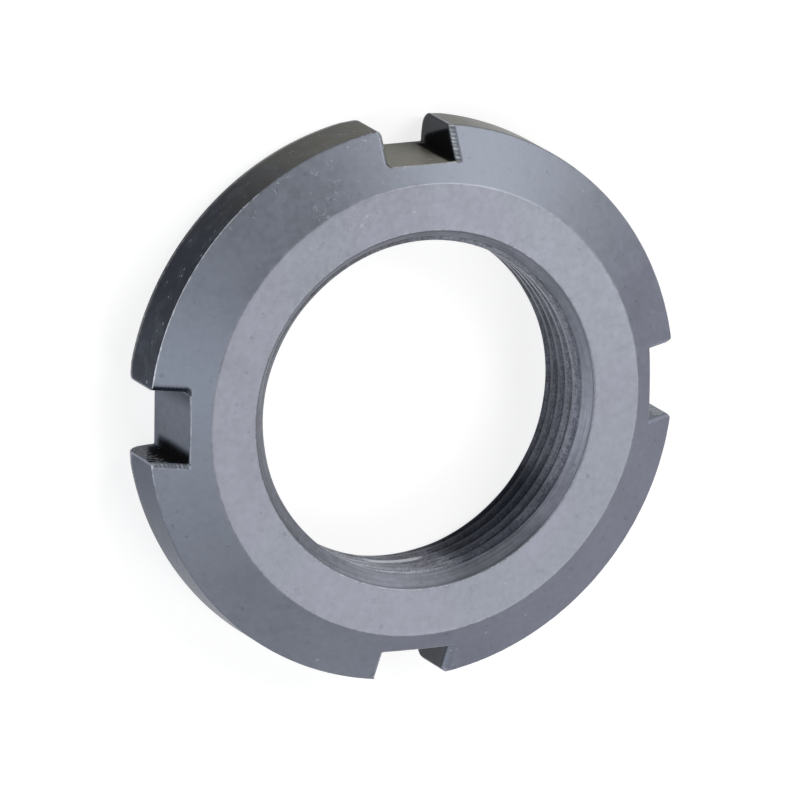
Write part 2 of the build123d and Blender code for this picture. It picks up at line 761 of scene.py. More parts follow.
    def close_corner(self, inset: np.ndarray, plan: HalfPlan, wall_width: float, blunt: float) -> None:
        """Lead a line inside the break round the corner of slot and rim.

        Args:
            inset: Points of the line, changed in place.
            plan: The columns.
            wall_width: Distance of the line from the slot's wall.
            blunt: Scale of the corner, which the line rounds with it.
        """
        reach = self.sizes.outer_radius - self.rim_break - self.margin / 2
        wall_y = self.sizes.slot_half_width + wall_width
        extra = self.corner_cut * (blunt - 1.0)
        before, after, taken = self.corner_insets
        corner = np.array([math.sqrt(reach**2 - wall_y**2), wall_y])
        low = corner - np.array([before + extra, 0.0])
        high = polar(reach, np.array(math.asin((wall_y + after + extra) / reach)))
        crowded = np.flatnonzero(inset[plan.rim, 1] < wall_y + taken + extra) + plan.rim.start
        columns = list(range(plan.flare.start, plan.flare.stop)) + list(crowded)
        for k, column in enumerate(columns):
            inset[column] = bezier(low, corner, high, (k + 0.5) / len(columns))

    @staticmethod
    def close_back_corner(inset: np.ndarray, plan: HalfPlan) -> None:
        """Lead the line inside the back's break round the corner of slot and rim.

        Args:
            inset: Points of the line, changed in place.
            plan: The columns.
        """
        reach, ease = 0.75, 0.12
        to_flare = plan.point[plan.flare.start, 0] - plan.point[plan.wall, 0]
        past_flare = np.linalg.norm(plan.point[plan.rim] - plan.point[plan.flare.stop - 1], axis=1)
        low = int(np.argmin(np.abs(to_flare - reach))) + plan.wall.start
        high = int(np.argmin(np.abs(past_flare - reach))) + plan.rim.start
        start, end = inset[low].copy(), inset[high].copy()
        middle = np.array([end[0] - ease, start[1] + ease])
        for column in range(low, high + 1):
            inset[column] = bezier(start, middle, end, (column - low) / (high - low))

    def outline(self) -> Outline:
        """Columns of the whole rim.

        Returns:
            The columns, from half-way before the slot on +X.
        """
        random = np.random.default_rng(self.seed)
        parts: list[Outline] = []
        for slot, (before, after) in enumerate(self.sides):
            first, second = self.half_outline(random, before), self.half_outline(random, after)
            quarter = Outline.joined([first.mirrored(), second]).changed(lambda _, value: value[:-1])
            parts.append(quarter.turned(slot * math.tau / len(self.sides)))
        return Outline.joined(parts)

    @staticmethod
    def fan_point(inner: np.ndarray, outer: np.ndarray, radius: np.ndarray) -> np.ndarray:
        """Where the lines from inner to outer points cross given radii.

        Args:
            inner: Plan points on the ring of the face.
            outer: Plan points at the inner edge of the break.
            radius: Radii to find, one for each line.

        Returns:
            One plan point for each line.
        """
        step = outer - inner
        aa = (step**2).sum(1)
        bb = (inner * step).sum(1)
        cc = (inner**2).sum(1) - radius**2
        t = (-bb + np.sqrt(np.maximum(bb * bb - aa * cc, 0.0))) / aa
        return inner + step * np.clip(t, 0.0, 1.0)[:, None]

    def face_rows(self, draft: MeshDraft, o: Outline, inner: np.ndarray) -> Rows:
        """Add the flat front ring, its rounded edge and the bevel.

        Args:
            draft: Mesh to add to.
            o: Columns of the rim.
            inner: Plan points where the bevel starts.

        Returns:
            The indices of each row.
        """
        s = self.sizes
        rows = []
        for radius in (self.flat_ring, *self.FACE_RINGS):
            rows.append(draft.add_row(lift(polar(radius, o.ring_angle), s.width)))
        for offset, wear in self.FACE_EDGE:
            plan = polar(s.face_radius + offset * s.face_round, o.ring_angle)
            rows.append(draft.add_row(s.on_front(plan), wear=self.face_wear * wear))
        for t in self.BEVEL_STEPS:
            rows.append(draft.add_row(s.on_front(inner + (o.front_limit - inner) * t), bevel=1.0))
        rows.append(draft.add_row(s.on_front(o.front_inset), wear=self.bevel_wear, bevel=1.0))
        return rows

    def break_rows(self, draft: MeshDraft, o: Outline, knee: np.ndarray, end: np.ndarray) -> Rows:
        """Add the broken front edge with its ridges.

        Args:
            draft: Mesh to add to.
            o: Columns of the rim.
            knee: Points where the bevel would meet the side.
            end: Points where the side starts.

        Returns:
            The indices of each row.
        """
        start = self.sizes.on_front(o.front_inset)
        centre = (start + end) / 2
        middle = centre + (knee - centre) * o.front_round[:, None]
        across = end - start
        outward = np.column_stack([o.facing * -across[:, 2:3], np.linalg.norm(across[:, :2], axis=1)])
        outward /= np.linalg.norm(outward, axis=1)[:, None]
        least, ease = self.rubbed_ease
        rubbed = smoothstep((np.cos(o.ring_angle - math.radians(self.rubbed_side)) - least) / ease)
        edge_wear = o.wear * np.where(o.rim > 0.5, self.rim_wear + (1.0 - self.rim_wear) * rubbed, 1.0)
        rows = []
        for k in range(1, self.break_steps + 1):
            t = k / self.break_steps
            crown = math.sin(math.pi * t)
            swell = self.ridge_height * o.ridge * min(1.0, 2.0 * math.sin(math.pi * (0.1 + 0.9 * t)))
            valley = self.valley_coat * crown * np.clip(1.0 - 1.6 * o.ridge, 0.0, 1.0) * (o.wear > 0.1)
            # The slot's coat reaches over the edge; on edges that face away from the lamps it is also
            # painted shade
            coated = (t - (1.0 - self.coat_width) * (1.0 - o.coat)) / self.coat_width
            covered = np.maximum(np.clip(coated, 0.0, 1.0), valley)
            # Painted shade lies on the coated part of the edge
            rows.append(draft.add_row(
                bezier(start, middle, end, t) + outward * swell[:, None],
                soot=self.edge_soot * o.coat * (o.slot > 0.5) * min(1.0, 3.0 * t),
                wear=(crown if k < self.break_steps else 0.0) * edge_wear, bevel=1.0, rim=o.rim * t,
                slot=o.slot * covered * (1.0 - 0.2 * o.coat * (1.0 - t))))
        return rows

    def side_rows(self, draft: MeshDraft, o: Outline, top: np.ndarray, low: np.ndarray) -> Rows:
        """Add the slot floors, the slot walls and the rim.

        Args:
            draft: Mesh to add to.
            o: Columns of the rim.
            top: Points where the side starts.
            low: Points where it ends.

        Returns:
            The indices of each row.
        """
        rows = []
        for t in self.SIDE_STEPS:
            point = top + (low - top) * t
            height = point[:, 2]
            # Painted shade deep in the slots, below a line that rises with height like the walls' shadow
            in_shade = smoothstep(1.0 - (o.depth - o.spread * height) / self.soot_fade)
            in_shade = in_shade * smoothstep(height / self.soot_height)
            rows.append(draft.add_row(point, wear=o.scuff, rim=o.rim, slot=o.slot, soot=o.soot * in_shade))
        return rows

    def back_rows(self, draft: MeshDraft, o: Outline, inner: np.ndarray, low: np.ndarray) -> Rows:
        """Add the broken back edge and the back, down to the ring round the bore.

        Args:
            draft: Mesh to add to.
            o: Columns of the rim.
            inner: Plan points where the columns meet the flat back.
            low: Points where the side ends.

        Returns:
            The indices of each row.
        """
        s = self.sizes
        rows = []
        start = s.on_back(o.back_inset)
        centre = (start + low) / 2
        middle = centre + (s.on_back(o.corner) - centre) * o.back_round[:, None]
        for k in range(1, self.break_steps + 1):
            t = k / self.break_steps
            rows.append(draft.add_row(bezier(low, middle, start, t), rim=o.rim, slot=o.slot,
                                      wear=self.back_wear * math.sin(math.pi * t)))
        reach = np.linalg.norm(o.back_inset, axis=1)
        edge = s.outer_radius - s.back_round_inset
        for step, slack in self.BACK_RINGS:
            radius = np.minimum(edge + step * s.back_round_inset, reach - slack)
            plan = self.fan_point(inner, o.back_inset, radius)
            rows.append(draft.add_row(s.on_back(plan), rim=o.rim * max(step, 0.0)))
        for t in self.BACK_STEPS:
            rows.append(draft.add_row(s.on_back(plan + (inner - plan) * t)))
        for radius in (self.back_ring, self.flat_ring):
            rows.append(draft.add_row(lift(polar(radius, o.ring_angle), 0.0)))
        return rows

    def build(self, draft: MeshDraft) -> Rings:
        """Add the rim's surface to the draft.

        Args:
            draft: Mesh to add to.

        Returns:
            The indices of the front ring and of the back ring that the bore joins,
            and the ring's angles.
        """
        s = self.sizes
        o = self.outline()
        inner = polar(s.face_radius + s.face_round, o.ring_angle)
        knee = s.on_front(o.corner)
        top = lowered(knee, o.front_drop)
        low = lowered(s.on_back(o.corner), -o.back_drop)
        rows = [*self.face_rows(draft, o, inner), *self.break_rows(draft, o, knee, top),
                *self.side_rows(draft, o, top, low), *self.back_rows(draft, o, inner, low)]
        for upper, lower in zip(rows, rows[1:]):
            draft.bridge(upper, lower)
        return rows[0], rows[-1], o.ring_angle


@dataclass
class ThreadedBore:
    """Right-hand thread with a countersink at both mouths.

    `phase` turns the thread about the axis, in turns, and `thread_end` is the depth where
    it starts in the countersinks. Near `rubbed_angle`, in radians, and `rubbed_height` one
    crest carries a painted highlight, made as bare metal. `crest_slack` and `end_slack` say
    how near to a crest, or to the thread's end, a point counts as on it. `root_share` is half
    the flat of the root, as a share of the pitch.
    """

    MARKS: ClassVar[tuple[float, ...]] = (0.0, 0.1, 0.16, 0.1925, 0.23, 0.29, 0.35, 0.41, 0.4475,
                                          0.5525, 0.59, 0.65, 0.71, 0.77, 0.8075, 0.84, 0.9)

    CONE_DEPTHS: ClassVar[tuple[float, ...]] = (0.08, 0.16, 0.24)

    sizes: NutSizes
    columns: int = 440
    flat_ring: float = 10.62
    mouth_round: float = 0.05
    round_steps: int = 4
    mouth_wear: float = 0.4
    mouth_line: float = 0.5
    start_angle: float = -math.pi / 4
    phase: float = 0.3
    crest_ease: float = 0.13
    crest_slack: float = 0.02
    end_slack: float = 1e-6
    flank_angle: float = 30.0
    root_share: float = 1 / 16
    thread_end: float = 0.32
    mouth_fade: float = 0.06
    groove_start: float = 0.1
    groove_fade: float = 0.22
    rubbed_angle: float = 4.67
    rubbed_reach: float = 0.24
    rubbed_rise: float = 1.6
    rubbed_height: float = 2.44
    rubbed_band: float = 0.4

    @property
    def angle(self) -> np.ndarray:
        """Angles of the columns in radians."""
        return self.start_angle + np.arange(self.columns) * math.tau / self.columns

    def radius(self, height: np.ndarray, angle: np.ndarray) -> np.ndarray:
        """Radius of the bore's surface, thread and countersinks together.

        Args:
            height: Heights over the back face.
            angle: Angles round the axis in radians.

        Returns:
            Radii of the surface.
        """
        s = self.sizes
        turn = height / s.pitch - angle / math.tau + self.phase
        from_root = np.abs((turn % 1.0) - 0.5) * s.pitch
        flank = (s.root_radius - s.crest_radius) * math.tan(math.radians(self.flank_angle))
        on_flank = (from_root - s.pitch * self.root_share) / flank
        share = 1.0 - soft_ramp(1.0 - soft_ramp(on_flank, self.crest_ease), self.crest_ease)
        thread = s.root_radius - (s.root_radius - s.crest_radius) * share
        return np.maximum(thread, self.cone(height))

    def cone(self, height: np.ndarray) -> np.ndarray:
        """Radii of the nearer countersink's cone."""
        return self.sizes.mouth_radius - np.minimum(height, self.sizes.width - height)

    def helix_row(self, draft: MeshDraft, height: np.ndarray, back_row: np.ndarray,
                  front_row: np.ndarray) -> np.ndarray:
        """Add a row that follows the helix, cut off at the countersinks.

        Args:
            draft: Mesh to add to.
            height: Height of the row at each column, also beyond the thread's ends.
            back_row: Indices of the back countersink's last row.
            front_row: Indices of the front countersink's last row.

        Returns:
            The row's indices, with those of the countersinks where it is cut off.
        """
        low = self.thread_end + self.end_slack
        high = self.sizes.width - self.thread_end - self.end_slack
        row = np.where(height >= high, front_row, back_row)
        keep = (height > low) & (height < high)
        if keep.any():
            height, angle = height[keep], self.angle[keep]
            radius = self.radius(height, angle)
            past_crest = radius - self.sizes.crest_radius
            cut = smoothstep((radius - self.cone(height)) / self.mouth_fade)
            depth = smoothstep((past_crest - self.groove_start) / self.groove_fade)
            # A painted highlight on one crest near the back, made as bare metal in the wear mask
            off_angle = np.abs((angle - self.rubbed_angle + math.pi) % math.tau - math.pi)
            rubbed = smoothstep(self.rubbed_rise - self.rubbed_rise * off_angle / self.rubbed_reach)
            rubbed = rubbed * (np.abs(height - self.rubbed_height) < self.rubbed_band)
            rubbed = rubbed * (past_crest < self.crest_slack)
            row[keep] = draft.add_row(lift(polar(radius, angle), height), wear=rubbed,
                                      thread=0.25 + cut * (0.25 + 0.5 * depth))
        return row

    def build(self, draft: MeshDraft) -> Rings:
        """Add the bore's surface to the draft.

        Args:
            draft: Mesh to add to.

        Returns:
            The indices of the front ring and of the back ring that join the rim,
            and the ring's angles.
        """
        pitch = self.sizes.pitch
        front_rows = self.mouth(draft, front=True)
        back_rows = self.mouth(draft, front=False)
        low, high = self.thread_end, self.sizes.width - self.thread_end
        start = self.phase - self.start_angle / math.tau
        first = math.floor(low / pitch + start) - 1
        lead = (self.angle - self.start_angle) / math.tau
        turns = math.ceil((high - low) / pitch) + 4
        heights = [(first + k + mark - start + lead) * pitch for k in range(turns) for mark in self.MARKS]
        index = [self.helix_row(draft, height, back_rows[-1], front_rows[-1]) for height in heights]
        for lower, upper in zip(index, index[1:]):
            for i in range(self.columns - 1):
                draft.add_face(upper[i], upper[i + 1], lower[i + 1], lower[i])

        # Each turn's last column joins the first column of the turn above
        above = index[len(self.MARKS):]
        for lower, upper, next_lower, next_upper in zip(index, index[1:], above, above[1:]):
            draft.add_face(upper[-1], next_upper[0], next_lower[0], lower[-1])
        return front_rows[0], back_rows[0], self.angle

    def mouth(self, draft: MeshDraft, front: bool) -> Rows:
        """Add one countersunk mouth, from the flat ring to the end of the thread.

        Args:
            draft: Mesh to add to.
            front: Whether it is the front mouth.

        Returns:
            The indices of its rows, from the face inwards.
        """
        width, edge, small = self.sizes.width, self.sizes.mouth_radius, self.mouth_round
        outside, slant = 1.6 * small, 0.7 * small
        steps = [(self.flat_ring, 0.0, 0.0), (edge + outside, 0.0, 0.0)]
        round_row = len(steps)
        start, middle = np.array((edge + small, 0.0)), np.array((edge, 0.0))
        end = np.array((edge - slant, slant))
        for k in range(self.round_steps + 1):
            t = k / self.round_steps
            steps.append((*bezier(start, middle, end, t), math.sin(math.pi * t)))
        cone_row = len(steps)
        steps += [(edge - depth, depth, 0.0) for depth in (*self.CONE_DEPTHS, self.thread_end)]
        rows = []
        for k, (radius, depth, wear) in enumerate(steps):
            row = lift(polar(radius, self.angle), width - depth if front else depth)
            # A painted shadow line runs round the front countersink where it leaves the rounded edge
            rows.append(draft.add_row(row, wear=self.mouth_wear * wear,
                                      thread=0.25 * min(max(k - round_row, 0) / self.round_steps, 1.0),
                                      soot=self.mouth_line if front and k == cone_row else 0.0))
        for upper, lower in zip(rows, rows[1:]):
            draft.bridge(*((lower, upper) if front else (upper, lower)))
        return rows


@dataclass
class LockNut:
    """The whole nut, one piece of steel."""

    sizes: NutSizes = field(default_factory=NutSizes)

    def build(self) -> bpy.types.Object:
        """Make the nut's mesh and its object.

        Returns:
            The nut, riding on the root body and standing for the CAD solid.
        """
        draft = MeshDraft()
        rim_front, rim_back, rim_angle = Rim(self.sizes).build(draft)
        bore_front, bore_back, bore_angle = ThreadedBore(self.sizes).build(draft)
        draft.zip_rings(rim_front, rim_angle, bore_front, bore_angle, upward=True)
        draft.zip_rings(rim_back, rim_angle, bore_back, bore_angle, upward=False)
        nut = placed("nut_body", draft.to_mesh("nut_body"))
        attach(nut, "root")
        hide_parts("lock_nut")
        return nut


# Shader groups


def add_node(tree: bpy.types.NodeTree, kind: str, *sources: "Source", **settings: object) -> bpy.types.Node:
    """Add a node to a tree.

    Args:
        tree: Tree of a material, a world or a group.
        kind: Node type, without its "ShaderNode" prefix.
        sources: What feeds its first inputs, in order.
        settings: Properties to set on the node.

    Returns:
        The new node.
    """
    made = tree.nodes.new("ShaderNode" + kind)
    for name, value in settings.items():
        setattr(made, name, value)
    for socket, source in zip(made.inputs, sources):
        feed(socket, source)
    return made


def feed(socket: bpy.types.NodeSocket, source: "Source") -> None:
    """Link a socket to a value, or set it to a constant.

    Args:
        socket: Input of a node.
        source: What feeds it.
    """
    if isinstance(source, Value):
        socket.id_data.links.new(source.socket, socket)
    else:
        socket.default_value = source


@dataclass(frozen=True)
class Value:
    """A node's output. What is worked out from it becomes nodes of the same tree.

    `a | b` is the larger of two masks and `~a` is one less the mask.
    """

    socket: bpy.types.NodeSocket

    def node(self, kind: str, *sources: "Source", **settings: object) -> bpy.types.Node:
        """Add a node beside the value, as add_node does."""
        return add_node(self.socket.id_data, kind, *sources, **settings)

    def math(self, operation: str, *terms: "Source") -> "Value":
        """Work out a value from some terms."""
        return Value(self.node("Math", *terms, operation=operation).outputs[0])

    def __add__(self, other: "Source") -> "Value":
        """Sum of the two."""
        return self.math("ADD", self, other)

    def __sub__(self, other: "Source") -> "Value":
        """Difference of the two."""
        return self.math("SUBTRACT", self, other)

    def __mul__(self, other: "Source") -> "Value":
        """Product of the two."""
        return self.math("MULTIPLY", self, other)

    def __or__(self, other: "Source") -> "Value":
        """Larger of the two."""
        return self.math("MAXIMUM", self, other)

    def __invert__(self) -> "Value":
        """One less the value."""
        return self.math("SUBTRACT", 1.0, self)

    def uneven(self, depth: float) -> "Value":
        """Factor around 1 from a noise around a half."""
        return (self - 0.5) * depth + 1.0

    def split(self) -> tuple["Value", ...]:
        """The three coordinates of a place."""
        return tuple(Value(output) for output in self.node("SeparateXYZ", self).outputs)

    def span(self, low: "Source", high: "Source") -> "Value":
        """Ease the value from 0 at one level to 1 at another.

        Args:
            low: Level where the result is 0.
            high: Level where the result is 1.

        Returns:
            The eased value.
        """
        return Value(self.node("MapRange", self, low, high, interpolation_type="SMOOTHSTEP").outputs[0])

    def noise(self, scale: "Source", detail: float, w: "Source" = 0.0) -> "Value":
        """Look a cloudy noise up at the place.

        Args:
            scale: Cells of the noise for each unit.
            detail: Number of finer layers.
            w: Fourth coordinate, which also tells one noise from another.

        Returns:
            The noise's value, around a half.
        """
        made = self.node("TexNoise", noise_dimensions="4D")
        for name, source in (("Vector", self), ("W", w), ("Scale", scale), ("Detail", detail)):
            feed(made.inputs[name], source)
        return Value(made.outputs[0])

    def mix(self, first: "Source", second: "Source") -> "Value":
        """Mix two numbers or two colours by the value.

        Args:
            first: What the result is at 0.
            second: What it is at 1.

        Returns:
            The mixed value.
        """
        numbers = isinstance(second, float) or isinstance(second, Value) and second.socket.type == "VALUE"
        kind, start, end = ("FLOAT", 2, 0) if numbers else ("RGBA", 6, 2)
        made = self.node("Mix", self, data_type=kind)
        feed(made.inputs[start], first)
        feed(made.inputs[start + 1], second)
        return Value(made.outputs[end])

    def scaled(self, factor: "Source") -> "Value":
        """Brighten or darken the colour.

        Args:
            factor: What it is multiplied by.

        Returns:
            The new colour.
        """
        made = self.node("VectorMath", self, operation="SCALE")
        feed(made.inputs["Scale"], factor)
        return Value(made.outputs[0])


Source = Value | float | tuple[float, ...]
Given = dict[str, Value]


@dataclass(frozen=True)
class EffectGroup:
    """A surface effect kept as one shared node group.

    `inputs` holds the defaults of the group's inputs. "Place" comes before them.
    """

    name: ClassVar[str] = ""
    inputs: ClassVar[dict[str, float | Triple]] = {}
    output: ClassVar[str] = "Mask"

    def tree(self) -> bpy.types.NodeTree:
        """The effect's node group.

        Returns:
            The group, made when it is first asked for.
        """
        made = bpy.data.node_groups.get(self.name)
        if made is None:
            made = bpy.data.node_groups.new(self.name, "ShaderNodeTree")
            for label, value in {"Place": (0.0, 0.0, 0.0), **self.inputs}.items():
                kind = "NodeSocketVector" if isinstance(value, tuple) else "NodeSocketFloat"
                made.interface.new_socket(label, in_out="INPUT", socket_type=kind).default_value = value
            made.interface.new_socket(self.output, in_out="OUTPUT", socket_type="NodeSocketFloat")
            start, end = made.nodes.new("NodeGroupInput"), made.nodes.new("NodeGroupOutput")
            given = {label: Value(start.outputs[label]) for label in ("Place", *self.inputs)}
            feed(end.inputs[self.output], self.wire(given))
        return made

    def wire(self, given: Given) -> Value:
        """Build the effect from the group's inputs.

        Args:
            given: The group's inputs under their names.

        Returns:
            The effect's value.
        """
        raise NotImplementedError

    def use(self, place: Value, **sources: Source) -> Value:
        """Put the effect into a material.

        Args:
            place: Place on the surface.
            sources: What feeds the other inputs, under their names in lower case.

        Returns:
            The effect's value.
        """
        made = place.node("Group", node_tree=self.tree())
        for label, source in {"place": place, **sources}.items():
            feed(made.inputs[label.capitalize()], source)
        return Value(made.outputs[self.output])


class Mottling(EffectGroup):
    """Fine and broad clouds of tone, around a half."""

    name = "mottling"
    inputs = {"Fine": 5.0, "Broad": 0.6, "Balance": 0.5}
    output = "Tone"

    def wire(self, given: Given) -> Value:
        """Mix two noises."""
        fine = given["Place"].noise(given["Fine"], 3.0)
        return given["Balance"].mix(given["Place"].noise(given["Broad"], 2.0, w=7.0), fine)


class Smears(EffectGroup):
    """Cloudy smears, clear in between."""

    name = "smears"
    inputs = {"Scale": 1.2, "Start": 0.52, "Full": 0.68, "Seed": 0.0}

    def wire(self, given: Given) -> Value:
        """Keep the high parts of a detailed noise."""
        return given["Place"].noise(given["Scale"], 5.0, w=given["Seed"]).span(given["Start"], given["Full"])


class TurnedGrain(EffectGroup):
    """Lines left by turning, round the axis, around a half."""

    name = "turned_grain"
    inputs = {"Lines": 6.0, "Breakup": 3.0}
    output = "Grain"

    def wire(self, given: Given) -> Value:
        """Look a noise up by radius and height, and only slowly round the axis.

        Args:
            given: The group's inputs under their names.

        Returns:
            The noise.
        """
        x, y, z = given["Place"].split()
        radius = (x * x + y * y).math("SQRT", x * x + y * y)
        slow = radius.math("DIVIDE", given["Breakup"], radius | 0.1)
        around = radius.node("CombineXYZ", x * slow, y * slow, z * given["Lines"])
        return Value(around.outputs[0]).noise(1.0, 3.0, w=radius * given["Lines"])


class Specks(EffectGroup):
    """Small scattered dots."""

    name = "specks"
    inputs = {"Scale": 1.6, "Size": 0.12, "Chance": 0.3}

    def wire(self, given: Given) -> Value:
        """Keep an uneven dot at the heart of some cells, with its own size.

        Args:
            given: The group's inputs under their names.

        Returns:
            The mask of the dots.
        """
        place, ripple, fineness, least = given["Place"], 0.12, 9.0, 0.35
        warp = place.node("TexNoise", place)
        warp.inputs["Scale"].default_value = fineness
        shifted = place.node("VectorMath", Value(warp.outputs["Color"]), (ripple,) * 3, place,
                             operation="MULTIPLY_ADD")
        cells = place.node("TexVoronoi", Value(shifted.outputs[0]))
        feed(cells.inputs["Scale"], given["Scale"])
        draws = place.node("SeparateColor", Value(cells.outputs["Color"])).outputs
        pick, size = Value(draws[0]), Value(draws[1])
        reach = given["Size"] * (size + least)
        dot = ~Value(cells.outputs["Distance"]).span(reach * 0.4, reach)
        return dot * place.math("LESS_THAN", pick, given["Chance"])


class Scratches(EffectGroup):
    """Short curled scratches in scattered patches."""

    name = "scratches"
    inputs = {"Scale": 1.0, "Width": 0.012, "Spread": 0.6}

    def wire(self, given: Given) -> Value:
        """Keep the level lines of a noise where a second noise is high.

        Args:
            given: The group's inputs under their names.

        Returns:
            The mask of the scratches.
        """
        place = given["Place"]
        off_line = place.math("ABSOLUTE", place.noise(given["Scale"], 1.0, w=3.0) - 0.5)
        patch = place.noise(given["Scale"] * 1.2, 1.0, w=11.0)
        return ~off_line.span(0.0, given["Width"]) * patch.span(given["Spread"], given["Spread"] + 0.04)


class OneSide(EffectGroup):
    """Tint or film on one side of the nut, with a cloudy edge."""

    name = "one_side"
    inputs = {"Toward": (1.0, 0.0, 0.0), "Start": 0.6, "Full": 0.9, "Breakup": 0.3, "Scale": 0.8}

    def wire(self, given: Given) -> Value:
        """Compare the direction from the axis with the side's own, and break the edge up.

        Args:
            given: The group's inputs under their names.

        Returns:
            The mask of the side.
        """
        place = given["Place"]
        flat = place.node("VectorMath", place, (1.0, 1.0, 0.0), operation="MULTIPLY").outputs[0]
        outward = place.node("VectorMath", Value(flat), operation="NORMALIZE").outputs[0]
        match = place.node("VectorMath", Value(outward), given["Toward"], operation="DOT_PRODUCT")
        cloud = (place.noise(given["Scale"], 3.0, w=17.0) - 0.5) * given["Breakup"]
        return (cloud + Value(match.outputs["Value"])).span(given["Start"], given["Full"])


class WornEdge(EffectGroup):
    """Bright metal where an edge is rubbed, broken up along it."""

    name = "worn_edge"
    inputs = {"Wear": 0.0, "Scale": 3.0, "Breakup": 0.6, "Reach": 0.5}

    def wire(self, given: Given) -> Value:
        """Ease the wear in where it beats a noise.

        Args:
            given: The group's inputs under their names.

        Returns:
            The mask of the bare metal.
        """
        wear = given["Wear"]
        broken = wear + (given["Place"].noise(given["Scale"], 2.0, w=5.0) - 0.5) * given["Breakup"]
        low = ~given["Reach"]
        return broken.span(low * 0.6, low + 0.25) * wear.span(0.02, 0.15)


# Finish


class Surface:
    """Masks and effects that a finish of the nut is mixed from.

    Several sides of the nut carry painted light or shade. `bright` is the side where the face
    is painted lighter and the countersink darker, `warm` where the rim and slot floors are
    painted lighter and yellower, `pale` where the rim carries a painted reflection and the
    countersink is painted darker, `dark` where the rim is painted darker, and `shade` where
    the bore is painted darker. `oiled` tints the bevel violet and, with `oil`, marks where
    painted shade lies over the thread. `marked` is the side of the bevel with scratches.
    """

    def __init__(self, tree: bpy.types.NodeTree) -> None:
        """Read the mesh's masks and add the effects.

        Args:
            tree: Tree of the material.
        """
        place = Value(add_node(tree, "TexCoord").outputs["Object"]).scaled(1 / MM)
        zones = {}
        for zone in Zone:
            reader = add_node(tree, "Attribute", attribute_type="GEOMETRY", attribute_name=zone.value)
            zones[zone] = Value(reader.outputs["Fac"])
        self.height = place.split()[2]
        self.front = self.height.span(2.0, 6.0)
        self.bevel, self.rim = zones[Zone.BEVEL], zones[Zone.RIM]
        self.slot, self.wall = zones[Zone.SLOT].span(0.1, 0.5), zones[Zone.SLOT].span(0.5, 0.9)
        self.coated = self.rim | self.slot
        thread = zones[Zone.THREAD]
        self.bore, self.thread = thread.span(0.0, 0.25), thread.span(0.25, 0.5)
        self.groove = thread.span(0.55, 0.95)

        self.tone = Mottling().use(place, fine=2.4, broad=0.4, balance=0.65)
        self.powder = Mottling().use(place, fine=7.0, broad=2.0, balance=0.8)
        self.grain = TurnedGrain().use(place, lines=9.0, breakup=2.5)
        self.streaks = TurnedGrain().use(place, lines=13.0, breakup=9.0)
        self.drift = Smears().use(place, scale=0.16, start=0.4, full=0.6, seed=2.0)
        self.smears = Smears().use(place, scale=1.1, start=0.46, full=0.7, seed=4.0)
        self.worn = WornEdge().use(place, wear=zones[Zone.WEAR], scale=4.0, breakup=0.75, reach=0.62)
        self.dots = Specks().use(place, scale=1.2, size=0.13, chance=0.2)
        self.dust = Specks().use(place, scale=3.2, size=0.26, chance=0.5)
        self.stains = Specks().use(place, scale=1.3, size=0.16, chance=0.14)
        self.curls = Scratches().use(place, scale=2.0, width=0.015, spread=0.58)
        self.creases = Scratches().use(place, scale=1.9, width=0.02, spread=0.6)

        def side(x: float, y: float, start: float, full: float, breakup: float) -> Value:
            """Mask of one side, towards a direction in plan."""
            return OneSide().use(place, toward=(x, y, 0.0), start=start, full=full, breakup=breakup)

        # Sides where light or shade is painted; marked only places scratches, and oiled also tints the bevel
        # violet
        self.bright = side(0.64, 0.77, 0.55, 0.95, 0.3)
        self.warm = side(0.17, 0.98, 0.52, 0.94, 0.45)
        self.pale = side(-0.91, -0.42, 0.8, 0.97, 0.2)
        self.marked = side(-0.37, 0.93, 0.93, 0.99, 0.35)
        self.oiled = side(0.82, -0.57, -0.1, 0.9, 0.2)
        self.oil = side(0.62, -0.79, 0.8, 0.99, 0.12)
        self.dark = side(-0.77, 0.64, 0.93, 0.99, 0.12)
        self.shade = side(0.47, -0.88, 0.92, 0.99, 0.05)

        # Painted shade spreads in the slots' inner corners with a cloudy edge, and painted shade lies over
        # the thread on its shaded sides
        clouded = (self.tone - 0.5) * 0.45 + zones[Zone.SOOT]
        self.soot = clouded.span(0.1, 1.0) * zones[Zone.SOOT].span(0.0, 0.15)
        # A layer of painted shade over the thread, strongest on its shaded sides and weaker near the front
        oil = (self.oiled * 0.6 | self.oil) * self.front.mix(1.0, 0.65)
        self.film = (oil | self.shade * 0.9) * self.thread


